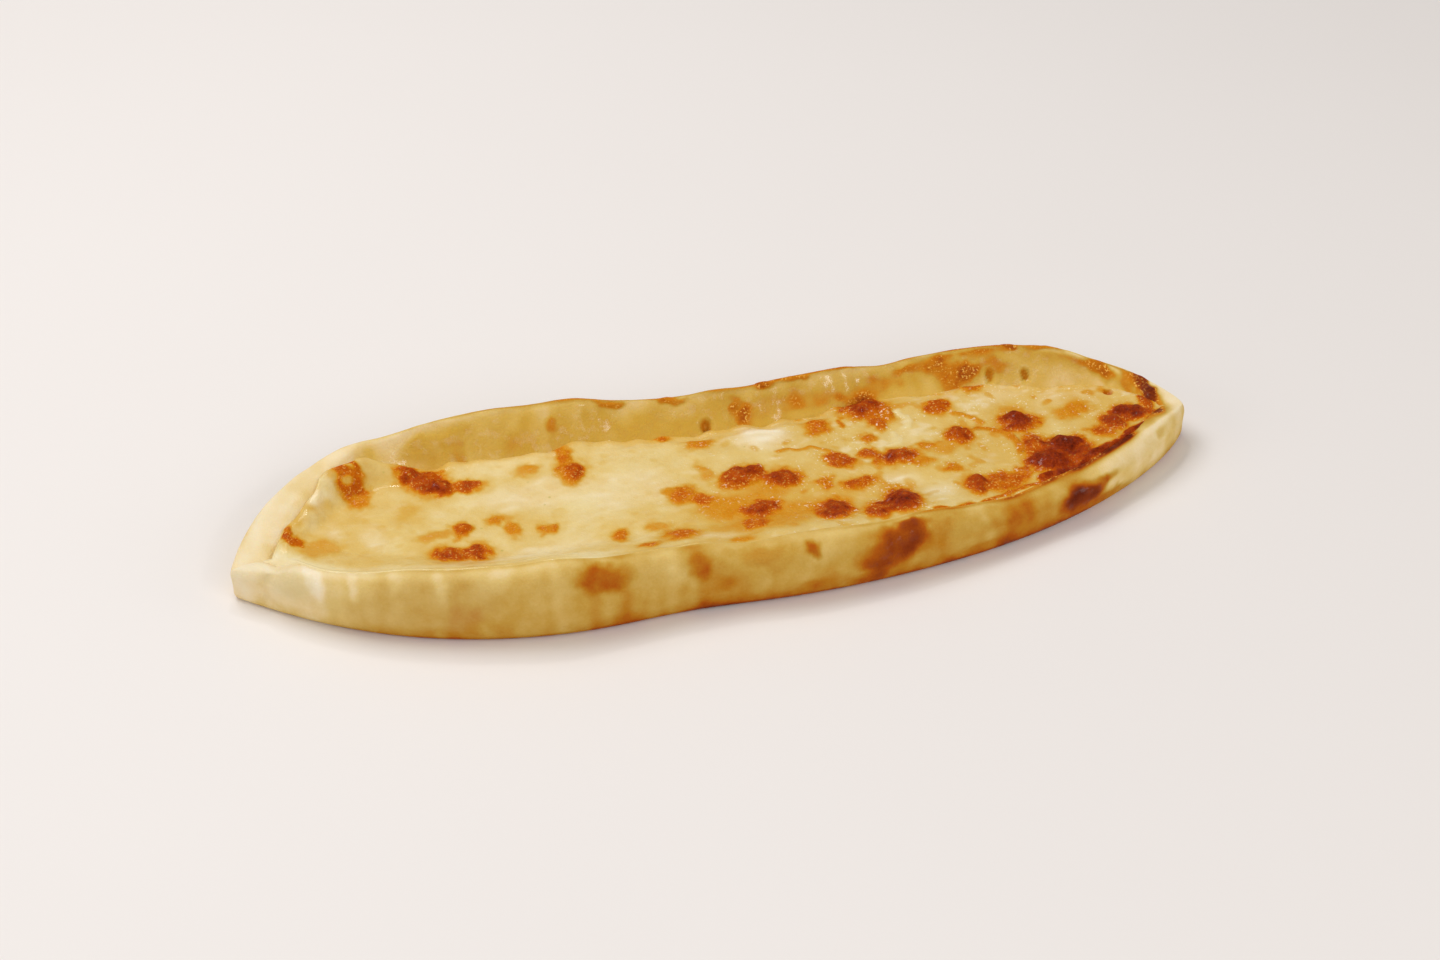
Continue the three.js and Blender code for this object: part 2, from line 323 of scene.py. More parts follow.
class Wire:
    # a shader socket: sums on wires and numbers add Math nodes
    def __init__(self, tree, socket=None):
        self.tree = tree
        self.socket = socket

    def add(self, kind, settings=None, sockets=None, out=0):
        # one node: its settings first, then values or wires on its sockets
        node = self.tree.nodes.new(kind)
        for name, value in (settings or {}).items():
            if name == "stops":
                stops = node.color_ramp.elements
                for index, (place, colour) in enumerate(value):
                    stop = stops[index] if index < 2 else stops.new(place)   # a new ramp has two
                    stop.position = place
                    stop.color = colour
            else:
                setattr(node, name, value)
        for name, value in (sockets or {}).items():
            if isinstance(value, Wire):
                self.tree.links.new(value.socket, node.inputs[name])
            else:
                node.inputs[name].default_value = value
        return Wire(self.tree, node.outputs[out] if node.outputs else None)

    def math(self, operation, *values):
        return self.add("ShaderNodeMath", {"operation": operation}, dict(enumerate(values)))

    def __add__(self, other):
        return self.math("ADD", self, other)

    __radd__ = __add__

    def __mul__(self, other):
        return self.math("MULTIPLY", self, other)

    __rmul__ = __mul__

    def __sub__(self, other):
        return self.math("SUBTRACT", self, other)

    def __rsub__(self, other):
        return self.math("SUBTRACT", other, self)

    def step(self, low, high):
        # 0 up to low, 1 from high on
        return self.add("ShaderNodeMapRange", {"interpolation_type": "SMOOTHSTEP"},
                        {"Value": self, "From Min": low, "From Max": high})

    def field(self, name):
        return self.add("ShaderNodeAttribute", {"attribute_name": name}, out="Fac")

    def noise(self, size, detail=2.0, roughness=0.5):
        # noise of this size in millimetres, about 0 to 1
        place = self.add("ShaderNodeTexCoord", out="Object")
        return self.add("ShaderNodeTexNoise", None, {
            "Vector": place, "Scale": 1 / (size * mm), "Detail": detail, "Roughness": roughness,
        })

    def cells(self, size):
        # distance from the middle of the nearest of many cells
        place = self.add("ShaderNodeTexCoord", out="Object")
        return self.add("ShaderNodeTexVoronoi", None, {"Vector": place, "Scale": 1 / (size * mm)})

    def mixed(self, a, b):
        # colour a where this wire is 0, b where it is 1
        return self.add("ShaderNodeMix", {"data_type": "RGBA"}, {0: self, 6: a, 7: b}, out=2)


def newMaterial(name):
    material = bpy.data.materials.new(name)
    material.use_nodes = True
    material.node_tree.nodes.clear()
    return material, Wire(material.node_tree)


def finishMaterial(shader, sockets):
    surface = shader.add("ShaderNodeBsdfPrincipled", None, sockets)
    shader.add("ShaderNodeOutputMaterial", None, {"Surface": surface})


# looks of the baked dough, with browning from 0 pale to 1 burnt
doughLook = {
    "stops": [
        (0.0, tint(243, 228, 196)), (0.15, tint(237, 213, 164)), (0.3, tint(221, 189, 114)),
        (0.45, tint(200, 157, 68)), (0.56, tint(188, 125, 30)), (0.66, tint(176, 88, 12)),
        (0.78, tint(140, 56, 10)), (0.9, tint(104, 34, 8)), (1.0, tint(70, 22, 6)),
    ],
    "flour": tint(218, 197, 146),
    "oil": tint(220, 175, 60),
    "glow": tint(212, 130, 16),
    # pale grains, partly painted glints
    "spark": tint(246, 190, 88),
}


def bakedDoughMaterial():
    material, shader = newMaterial("bakedDough")
    bake = shader.field("bake")
    film = shader.field("film")
    scorched = bake.step(0.45, 0.6)
    burnt = bake.step(0.66, 0.8)
    crumbs = bake.step(0.52, 0.66) * film
    grain = shader.noise(0.9, 3.0) - 0.5
    mottle = shader.noise(6.0, 3.0, 0.6) - 0.5
    browned = bake + mottle * (0.12 + 0.08 * film) + grain * (0.06 + 0.22 * crumbs)
    crust = shader.add("ShaderNodeValToRGB", {"stops": doughLook["stops"]}, {"Fac": browned})
    # pale grains on the crumbly crust, partly painted glints
    glintSpecks = shader.noise(0.8, 2.0).step(0.57, 0.64) * crumbs * (1 - bake.step(0.7, 0.86))
    honeyed = film * bake.step(0.46, 0.56) * (1 - bake.step(0.6, 0.74))
    glowing = (0.6 * honeyed).mixed(crust, doughLook["glow"])
    sparked = (0.8 * glintSpecks).mixed(glowing, doughLook["spark"])
    oiled = (0.5 * film * (1 - scorched)).mixed(sparked, doughLook["oil"])
    dusty = shader.field("flour") * (0.4 + 0.9 * shader.noise(2.0, 4.0, 0.65))
    colour = dusty.mixed(oiled, doughLook["flour"])
    pores = shader.noise(0.7, 2.0) + 0.6 * shader.noise(2.2, 2.0) - crumbs * shader.cells(1.1)
    bump = shader.add("ShaderNodeBump", None, {"Strength": 0.4, "Distance": 0.0005, "Height": pores})
    glaze = shader.noise(3.0, 3.0).step(0.48, 0.66)
    finishMaterial(shader, {
        "Base Color": colour,
        "Roughness": 0.58 - 0.15 * film + 0.2 * grain,
        "Coat Weight": film * (0.03 + 0.45 * glaze) * (1 - scorched) + 0.5 * burnt * glaze,
        "Normal": bump,
        "Specular IOR Level": 0.05,
        "Coat Roughness": 0.14,
        "Subsurface Weight": 0.1,
        "Subsurface Radius": (1.0, 0.55, 0.2),
        "Subsurface Scale": 0.0018,
    })
    return material


# looks of the filling, with browning from 0 milky to 1 burnt
cheeseLook = {
    "stops": [
        (0.0, tint(240, 224, 184)), (0.12, tint(232, 211, 154)), (0.25, tint(222, 190, 114)),
        (0.38, tint(214, 171, 78)), (0.5, tint(208, 136, 18)), (0.62, tint(200, 101, 2)),
        (0.74, tint(178, 72, 2)), (0.86, tint(144, 46, 4)), (1.0, tint(94, 24, 4)),
    ],
    "milk": tint(244, 230, 198),
    "herb": tint(170, 160, 62),
    # pale grains, partly painted glints, then painted glints
    "spark": tint(244, 184, 82),
    "glint": tint(254, 242, 212),
}


def cheeseMaterial():
    material, shader = newMaterial("brownedCheese")
    toast = shader.field("toast")
    crumbs = toast.step(0.42, 0.6)
    grain = shader.noise(0.8, 3.0, 0.6) - 0.5
    mottle = shader.noise(3.6, 3.0, 0.6) - 0.5
    browned = toast + mottle * 0.12 + grain * (0.04 + 0.3 * crumbs)
    cheese = shader.add("ShaderNodeValToRGB", {"stops": cheeseLook["stops"]}, {"Fac": browned})
    # pale grains on the blisters, partly painted glints
    glintSpecks = shader.noise(0.8, 2.0).step(0.58, 0.65) * crumbs * (1 - toast.step(0.7, 0.86))
    sparked = (0.6 * glintSpecks).mixed(cheese, cheeseLook["spark"])
    milky = shader.field("milk").mixed(sparked, cheeseLook["milk"])
    fleck = (1 - shader.cells(7.0).step(0.03, 0.1)) * (1 - toast.step(0.25, 0.4))
    herbed = (0.5 * fleck * shader.noise(30.0).step(0.5, 0.62)).mixed(milky, cheeseLook["herb"])
    # painted glints: pale dots where the cheese is wet, more to the right
    glintDots = shader.noise(1.0, 2.0).step(0.6, 0.68) * shader.noise(7.0, 3.0).step(0.46, 0.58)
    glints = shader.field("oil") * glintDots * (1 - toast.step(0.6, 0.8))
    colour = (0.5 * glints).mixed(herbed, cheeseLook["glint"])
    bubbles = crumbs * (1.0 * shader.noise(0.9, 3.0, 0.6) - 0.7 * shader.cells(1.1))
    skin = 0.8 * shader.noise(1.6, 3.0, 0.7) + bubbles
    bump = shader.add("ShaderNodeBump", None, {"Strength": 0.5, "Distance": 0.0008, "Height": skin})
    sparkle = shader.noise(0.7, 2.0).step(0.6, 0.68) * shader.noise(5.0, 2.0).step(0.45, 0.6)
    wet = shader.noise(8.0, 3.0).step(0.35, 0.65)
    glazed = 0.4 * toast.step(0.78, 0.9) * shader.noise(2.5, 2.0).step(0.48, 0.62)
    moist = (1 - toast.step(0.3, 0.5)) * (0.12 + 0.4 * wet)
    finishMaterial(shader, {
        "Base Color": colour,
        "Roughness": 0.42 + 0.08 * crumbs + 0.14 * grain,
        "Coat Weight": moist + 0.5 * crumbs * sparkle + glazed + 0.6 * glints,
        "Normal": bump,
        "Specular IOR Level": 0.05,
        "Coat Roughness": 0.08,
        "Subsurface Weight": 0.1,
        "Subsurface Radius": (1.0, 0.75, 0.4),
        "Subsurface Scale": 0.002,
    })
    return material


# v runs up the dough's section: 0 at the base's edge, 1 at the crest, 2 at the floor of the trough
section = {"footEnd": 0.15, "footBlend": 0.3, "bandEnd": 1.1, "lipEnd": 1.5}

# limits that several washes share: along the boat, then up the dough
leftEnd, rightEnd, farRight = ramp(-112, -142), ramp(96, 132), ramp(60, 95)
amidships, farMiddle = bell(-25, 25), span(-75, -55, 5, 40)
# limits for painted shade low on the outer wall and down into the trough, and for paler dough under the
# crest
lowWallShade, underCrest, shaded = ramp(7, 0.5), ramp(0.66, 0.92), ramp(1.1, 1.5)

# relief and browning of the dough
dough = {
    "stations": 500,   # along each side
    # rows of points: from v, to v, how many
    "rings": [
        (-1, 0, 6), (0, 1, 44), (1, section["bandEnd"], 10),
        (section["bandEnd"], section["lipEnd"], 20), (section["lipEnd"], 2, 15),
    ],
    # turns of smoothing over the rim, and far more over the left point
    "rounding": [
        (30, {"v": span(0.9, 1.0, 1.4, 1.7)}),
        (200, {"v": span(0.3, 0.6, 1.06, 1.12), "x": ramp(-142, -153)}),
    ],
    "crease": {"top": -146.0, "foot": -153.0, "depth": 0.9, "width": 2.2, "v": span(-0.1, 0.1, 1.2, 1.5)},
    # share of the relief that is left out where the filling comes up to the crest
    "calm": (0.85, {"v": bell(1.05, 0.2), "x": ramp(20, -20)}),
    "folds": {"x": leftEnd, "v": bell(1.16, 0.14)},
    "dripRise": 0.5,
    # random layers: size, height, seed
    "layers": {
        "relief": [(26.0, 0.7, 20), (10.0, 0.3, 21), (4.0, 0.09, 22)],
        "warpAlong": [(6.0, 1.2, 11), (2.4, 0.6, 12)], "warpUp": [(6.0, 1.2, 17), (2.4, 0.6, 18)],
        "patches": [(22.0, 0.07, 14), (7.0, 0.06, 15)], "grain": [(3.0, 0.04, 66)],
        "farWall": [(9.0, 0.09, 63), (3.6, 0.08, 64)], "shade": [(8.0, 0.1, 65)],
        "smear": [(4.0, 1.2, 68)], "pointCrust": [(3.0, 0.14, 69)], "folds": [(6.0, 0.9, 67)],
        "ragged": [(2.4, 0.8, 25), (1.3, 0.4, 26)], "scorched": [(3.0, 0.07, 27), (7.0, 0.05, 15)],
        "lineWander": [(7.0, 0.03, 16)], "lineBreaks": [(7.0, 0.5, 15)],
    },
    # the same, drawn out up the wall by a plane that is squeezed by this share
    "streaks": [(8.0, 0.065, 13), (3.6, 0.05, 19)],
    "drips": [(9.0, 0.7, 61), (4.0, 0.45, 62)],
    "squeeze": 0.16,
    "golden": 0.35,   # browning before all washes
    "evenLeft": 0.5,   # share of the patches that is left out on the left of the outer wall
    # washes of browning in each region, some of them painted shade: amount, limits
    "washes": {
        "outer": [
            (0.06, {"x": ramp(-30, 10)}), (0.08, {"x": ramp(20, 80)}), (0.03, {"x": amidships}),
            # painted shade: the v and z rows darken the outer wall low down; the row under z 3 is a
            # browned base edge with painted contact shadow
            (0.03, {"x": span(-142, -112, -20, 10)}), (0.04, {"v": ramp(0.6, 0.3)}),
            (0.08, {"z": lowWallShade}), (0.12, {"z": lowWallShade, "x": ramp(-70, 0)}),
            (0.1, {"z": ramp(3, 0.2)}), (-0.12, {"v": underCrest}),
            (0.08, {"v": underCrest, "x": amidships}),
        ],
        "inner": [
            # painted shade: the shade rows and the row deep amidships darken the far wall down into the
            # trough; at the far right the wall is browner at the top instead
            (-0.1, {}), (0.2, {"shade": shaded}), (0.05, {"x": ramp(-70, 40)}),
            (0.37, {"x": farRight}), (-0.46, {"x": farRight, "shade": shaded}),
            (0.03, {"x": amidships}), (0.03, {"x": bell(-50, 14)}), (-0.04, {"x": ramp(-70, -95)}),
            (0.07, {"x": farMiddle, "v": ramp(1.35, 1.7)}),
            (-0.06, {"x": ramp(-55, -75), "shade": ramp(1.5, 1.1)}),
            # the drips row paints pale cheese drips, partly as painted highlight
            (-0.06, {"x": leftEnd}), (-0.16, {"drips": ramp(0.1, 0.7)}),
        ],
    },
    # cheese smeared on the dough above the filling, and the most browning amidships on the far wall
    "smear": {
        "browning": 0.36, "share": 0.6, "middleShare": 0.15, "middleMost": 0.46,
        "low": 0.5, "high": 3.0, "highRight": 5.0,
    },
    # washes over the smears: the base, both ends and the crest, with painted shade on the near-left crest
    "lateWashes": {
        "whole": [
            (0.14, {"v": ramp(0, -0.5)}), (-0.2, {"x": leftEnd}), (-0.29, {"x": rightEnd}),
            (-0.1, {"x": ramp(-146, -153), "v": bell(1.04, 0.08)}),
            (-0.1, {"x": bell(-118, 9), "v": bell(1.04, 0.08)}),
            (0.06, {"x": leftEnd, "v": bell(1.13, 0.06)}),
        ],
        "pointCrust": [(1.0, {"x": leftEnd, "v": bell(1.13, 0.06)})],
        "inner": [(0.203, {"x": rightEnd})],
        "front": [
            (-0.12, {"x": ramp(-142, -156)}),
            # painted shade on the near-left crest, dulling the bright line that the light draws along it
            (0.06, {"x": span(-145, -120, -40, 0), "v": bell(0.99, 0.1)}),
        ],
        "back": [
            (0.04, {"x": leftEnd, "v": bell(1.05, 0.1)}),
            (-0.09, {"x": bell(-84, 20), "v": bell(1.1, 0.1)}),
        ],
    },
    # scorched and browned places on each side: x, v, length, height up the wall, browning, rise
    "spots": [
        (front, [
            (-53.5, 0.63, 18, 8, 0.64, 0.2), (-22, 0.6, 6, 7.5, 0.63, 0.3), (-8, 0.78, 10, 4, 0.44, 0),
            (-2.3, 0.66, 12, 5, 0.5, 0.2), (14.7, 0.68, 4.2, 4, 0.66, 0.4),
            (17.5, 0.21, 18, 6, 0.58, 0), (46, 0.68, 13, 8, 0.72, 0.4), (43, 0.5, 18, 14, 0.78, 0.3),
            (38, 0.28, 20, 11, 0.76, 0), (32, 0.16, 18, 6, 0.64, 0), (61, 0.81, 12, 5, 0.46, 0),
            (77, 0.74, 8, 5, 0.46, 0), (76, 0.17, 30, 4, 0.56, 0), (110, 0.27, 18, 13, 0.86, 0.3),
            (116, 0.38, 16, 5, 0.66, 0.2), (117, 0.16, 22, 6, 0.62, 0), (144.5, 0.53, 4, 5, 0.36, 0),
        ]),
        (back, [
            (-90, 1.46, 14, 7, 0.46, 0.3), (-81, 1.5, 8, 7, 0.47, 0.3), (-79, 1.69, 4, 3, 0.52, 0),
            (-48, 1.46, 4, 3, 0.58, 0.3), (-46.4, 1.72, 5, 5, 0.45, 0.3), (-39, 1.6, 8, 4, 0.44, 0),
            (-11, 1.65, 12, 5, 0.44, 0), (13.5, 1.42, 4, 4, 0.64, 0.6), (16, 1.55, 4.5, 5, 0.68, 0.6),
            (34, 1.5, 9, 7, 0.46, 0), (57.5, 1.68, 10, 7, 0.7, 0.6), (75, 1.3, 10, 2.5, 0.6, 0.2),
            (84, 1.34, 8, 6, 0.69, 0.4), (94, 1.5, 8, 8, 0.69, 0.4), (104, 1.46, 12, 6, 0.55, 0),
            (88, 1.5, 12, 8, 0.62, 0.3), (89, 1.66, 7, 5, 0.66, 0.4), (136.7, 1.2, 8, 6, 0.66, 0.3),
            (144, 1.14, 4, 5, 0.56, 0.2), (148.6, 1.1, 6, 5, 0.8, 0.5), (-30, 1.12, 5, 2.5, 0.62, 0.5),
            (-26, 1.16, 6, 3, 0.6, 0.5), (-8, 1.1, 6, 3, 0.62, 0.5), (-5, 1.17, 5, 3, 0.6, 0.4),
            (24.5, 1.03, 7, 3.5, 0.64, 0.6), (36, 1.07, 9, 2.5, 0.62, 0.3), (52, 1.02, 8, 2, 0.58, 0.2),
            (108, 1.03, 8, 2.5, 0.74, 0.3), (120, 1.06, 14, 2.5, 0.6, 0.3),
        ]),
    ],
    # browned edge lines: side, then stops of x, v, width in v, browning
    "edgeLines": [
        (front, [
            (20, 1.0, 0.05, 0.36), (62, 1.0, 0.07, 0.6), (92, 1.0, 0.11, 0.68),
            (104, 1.04, 0.18, 0.82), (136, 1.04, 0.18, 0.84), (143, 1.08, 0.13, 0.82),
            (150.5, 1.12, 0.08, 0.8),
        ]),
        (back, [
            (-100, 1.0, 0.05, 0.34), (-60, 1.0, 0.07, 0.58), (118, 1.0, 0.07, 0.66),
            (130, 1.0, 0.05, 0.52), (143, 1.02, 0.05, 0.52), (148, 1.06, 0.07, 0.78),
            (150.5, 1.1, 0.06, 0.8),
        ]),
    ],
    # small holes: side, x, v, width, depth
    "holes": [(back, 2.6, 1.67, 2.2, 2.2), (back, 112.7, 1.59, 1.7, 1.6), (back, 101, 1.61, 1.7, 1.2)],
    # floury places: side, x, v, length, height up the wall, share
    "flour": [
        (front, -144, 0.58, 17, 16, 0.8), (front, -153, 0.73, 14, 22, 0.3),
        (front, -112, 0.5, 62, 22, 0.14), (back, -146, 1.05, 40, 12, 0.2),
    ],
    # pale stripes where the dough was pressed: side, x, v, length, height up the wall, share
    "pale": [
        (front, -136, 0.72, 4.5, 14, 0.2), (front, -125, 0.7, 3, 12, 0.12),
        (front, -101, 0.7, 3, 10, 0.1), (front, -113, 0.8, 5, 7, 0.08), (front, -84, 0.75, 6, 8, 0.06),
    ],
}


def doughSection(side, t, v):
    # base edge round to the wall, up a quarter ellipse to the crest, over the flat band, down the lip
    rim, crest = rimHeight(side, t), crestInset(side, t)
    footEnd, footBlend, bandEnd, lipEnd = section.values()
    foot = np.clip(v / footEnd, 0, 1) * halfTurn / 2
    wall = np.clip((v - footEnd) / (1 - footEnd), 0, 1) * halfTurn / 2
    band = np.clip((v - 1) / (bandEnd - 1), 0, 1)
    lip = np.clip((v - bandEnd) / (lipEnd - bandEnd), 0, 1)
    trough = np.clip((v - lipEnd) / (2 - lipEnd), 0, 1)
    under = np.clip(-v, 0, 1)

    footInset = boat["baseTuck"] + boat["baseRadius"] * (1 - np.sin(foot))
    footInset = blend(footInset, boat["baseReach"] * side["belly"], under)
    footHeight = boat["baseRadius"] * (1 - np.cos(foot))
    wallInset = blend(boat["baseTuck"], crest * (1 - np.cos(wall)), smooth(footEnd, footBlend, v))
    straight = boat["bellyHeight"] + (rim - boat["bellyHeight"]) * np.sin(wall)
    wallHeight = blend(boat["baseRadius"], straight, smooth(footEnd, footBlend, v))
    lipInset = crest + bandWidth(side, t) * band + boat["lipWidth"] * lip
    lipHeight = rim - boat["lipDrop"] * lip
    inset = np.where(v <= footEnd, footInset, np.where(v <= 1, wallInset, lipInset))
    z = np.where(v <= footEnd, footHeight, np.where(v <= 1, wallHeight, lipHeight))
    inset = blend(inset, boat["floorInset"], trough)
    z = blend(z, boat["floorHeight"], trough)
    return inset, z


def doughForm():
    # rows of points up the section, each along the front and home along the back, with their v and t
    steps = np.sin(np.linspace(-1, 1, dough["stations"] + 1) * halfTurn / 2)
    rows = [np.linspace(low, high, count, endpoint=False) for low, high, count in dough["rings"]]
    v = np.concatenate([*rows, [2.0]])[:, None]
    sides = ((front, steps), (back, steps[-2:0:-1]))
    points = np.concatenate([placeOnSide(side, t, *doughSection(side, t, v)) for side, t in sides], axis=1)
    measures = {"x": points[..., 0].copy(), "v": v}
    for turns, limits in dough["rounding"]:
        loose = 0.5 * limited(limits, measures)[1:-1, :, None]
        for _ in range(turns):
            points[1:-1] = blend(points[1:-1], (points[:-2] + points[2:]) / 2, loose)
    return points, v, np.concatenate([t for side, t in sides])


class DoughGrid:
    # the dough's points and what is measured on them
    def __init__(self):
        self.points, v, self.t = doughForm()
        self.x, self.z = self.points[..., 0], self.points[..., 2]
        self.v = np.broadcast_to(v, self.x.shape)
        self.onFront = np.arange(self.points.shape[1])[None, :] <= dough["stations"]
        self.outer, self.inner = 1 - smooth(0.95, 1.1, self.v), smooth(1.02, 1.2, self.v)
        # millimetres up the section, measured at the middle of the front
        middle = self.points[:, dough["stations"] // 2]
        self.girth = np.concatenate([[0], np.cumsum(np.linalg.norm(np.diff(middle, axis=0), axis=-1))])
        self.up = np.broadcast_to(self.girth[:, None], self.x.shape)
        self.warpX = self.x + self.layer("warpAlong")
        self.warpUp = self.up + self.layer("warpUp")
        squeezed = np.stack([self.x, self.up * dough["squeeze"], self.x * 0], -1)
        self.streaks, self.drips = layered(squeezed, dough["streaks"]), layered(squeezed, dough["drips"])
        self.measures = {"x": self.x, "v": self.v, "z": self.z, "drips": self.drips}
        self.measures["shade"] = self.v + self.layer("shade")

    def layer(self, name):
        return layered(self.points, dough["layers"][name])

    def on(self, side):
        return self.onFront if side is front else ~self.onFront

    def upAt(self, v):
        return np.interp(v, self.v[:, 0], self.girth)

    def edge(self, atX, atV, long, high):
        # millimetres outside an ellipse on the wall, bent a little out of shape
        return spotEdge(self.warpX - atX, self.warpUp - self.upAt(atV), long, high, 0)


def doughBrowning(grid):
    # golden with patches and streaks, then washes, smears above the filling, and the late washes
    inner = grid.inner
    regions = {
        "whole": 1.0, "outer": grid.outer, "inner": inner, "front": grid.on(front), "back": grid.on(back),
        "pointCrust": grid.layer("pointCrust"),
    }
    even = 1 - dough["evenLeft"] * grid.outer * smooth(0, -50, grid.x)
    bake = dough["golden"] + even * grid.layer("patches") + grid.layer("grain")
    bake += inner * grid.layer("farWall") - grid.outer * grid.streaks
    bake += washed(dough["washes"], regions, grid.measures)

    smear = dough["smear"]
    middle = farMiddle(grid.x)
    edgeZ = np.where(grid.onFront, fillingEdge(front, grid.t), fillingEdge(back, grid.t))
    high = blend(smear["high"], smear["highRight"], farRight(grid.x))
    smeared = inner * (1 - smooth(smear["low"], high, grid.z - edgeZ + grid.layer("smear")))
    smeared *= blend(smear["share"], smear["middleShare"], middle)
    bake = blend(bake, np.minimum(bake, smear["browning"]), smeared)
    bake = blend(bake, np.minimum(bake, smear["middleMost"]), inner * middle)
    return bake + washed(dough["lateWashes"], regions, grid.measures)


def doughMarks(grid, bake):
    # spots and edge lines brown and raise the crust, pale stripes lighten it
    rise = dough["dripRise"] * grid.inner * grid.drips
    rise += grid.layer("folds") * limited(dough["folds"], grid.measures)
    ragged = grid.layer("ragged")
    for side, spots in dough["spots"]:
        for atX, atV, long, high, dark, lift in spots:
            edge = grid.edge(atX, atV, long, high) + ragged
            bake = np.maximum(bake, blend(bake, dark, grid.on(side) * spotShare(edge, long, high, 0.6)))
            rise += grid.on(side) * lift * spotDome(edge, long, high)
    wander = grid.v + grid.layer("lineWander")
    breaks = 0.85 + grid.layer("lineBreaks")
    for side, stops in dough["edgeLines"]:
        stopX, *stopValues = np.array(stops).T
        atV, width, dark = [np.interp(grid.x, stopX, values) for values in stopValues]
        line = hump(wander, atV, width) * smooth(stopX[0] - 8, stopX[0] + 8, grid.x)
        line = grid.on(side) * np.clip(line * breaks, 0, 1)
        bake = np.maximum(bake, blend(bake, dark, line))
        rise += 1.6 * np.clip(dark - 0.5, 0, None) * line
    for side, atX, atV, long, high, share in dough["pale"]:
        edge = grid.edge(atX, atV, long, high)
        bake -= grid.on(side) * share * spotShare(edge, long, high, 0.5)
    bake += smooth(0.48, 0.66, bake) * grid.layer("scorched")
    return bake, rise


def doughDips(grid, bake):
    # holes that are darker inside, with pale rims, and the crease at the left end
    dip = np.zeros_like(grid.x)
    for side, atX, atV, width, depth in dough["holes"]:
        mask = grid.on(side)
        reach = np.hypot(grid.x - atX, grid.up - grid.upAt(atV)) / width
        dip += mask * depth * (1 - smooth(0.5, 1.0, reach))
        bake = np.where(mask, blend(bake, np.maximum(bake, 0.58), 1 - smooth(0.5, 1.1, reach)), bake)
        bake -= mask * 0.05 * hump(reach, 1.3, 0.25)
    crease = dough["crease"]
    seam = blend(crease["foot"], crease["top"], np.clip(grid.v, 0, 1.2))
    creased = hump(grid.x, seam, crease["width"]) * crease["v"](grid.v)
    return bake, dip + grid.onFront * crease["depth"] * creased


def addBakedDough():
    grid = DoughGrid()
    bake, rise = doughMarks(grid, doughBrowning(grid))
    bake, dip = doughDips(grid, bake)

    # push every point out along the surface, but leave the base flat
    alongStep = np.roll(grid.points, -1, axis=1) - np.roll(grid.points, 1, axis=1)
    normal = np.cross(alongStep, np.gradient(grid.points, axis=0))
    normal /= np.maximum(np.linalg.norm(normal, axis=-1, keepdims=True), 1e-9)
    calm, limits = dough["calm"]
    kept = 1 - calm * grid.onFront * limited(limits, grid.measures)
    push = smooth(0.3, 5, grid.z) * (kept * grid.layer("relief") + rise - dip)
    points = grid.points + normal * push[..., None]
    points[..., 2] = np.clip(points[..., 2], 0, None)

    # closed by strips from front to back under the base and under the filling
    rows, count = grid.x.shape
    faces = gridFaces(rows, count)
    frontSide = np.arange(dough["stations"] + 1)
    backSide = (count - frontSide) % count
    last = (rows - 1) * count
    strip = np.stack([frontSide[:-1], backSide[:-1], backSide[1:], frontSide[1:]], -1)
    for face in strip.tolist():
        corners = list(dict.fromkeys(face))
        faces.append(corners)
        faces.append([corner + last for corner in reversed(corners)])
    film = np.maximum(grid.inner, smooth(0.48, 0.58, bake) * smooth(0.96, 1.04, grid.v))
    flour = np.zeros_like(bake)
    for side, atX, atV, long, high, share in dough["flour"]:
        dusted = grid.on(side) * share * (1 - smooth(-4, 2, grid.edge(atX, atV, long, high)))
        flour = np.maximum(flour, dusted)
    fields = {"bake": np.clip(bake, 0, 1), "flour": flour, "film": film}
    piece = addPiece("bakedDough", points, faces, fields, bakedDoughMaterial())
    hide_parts("dough_boat")


addBakedDough()

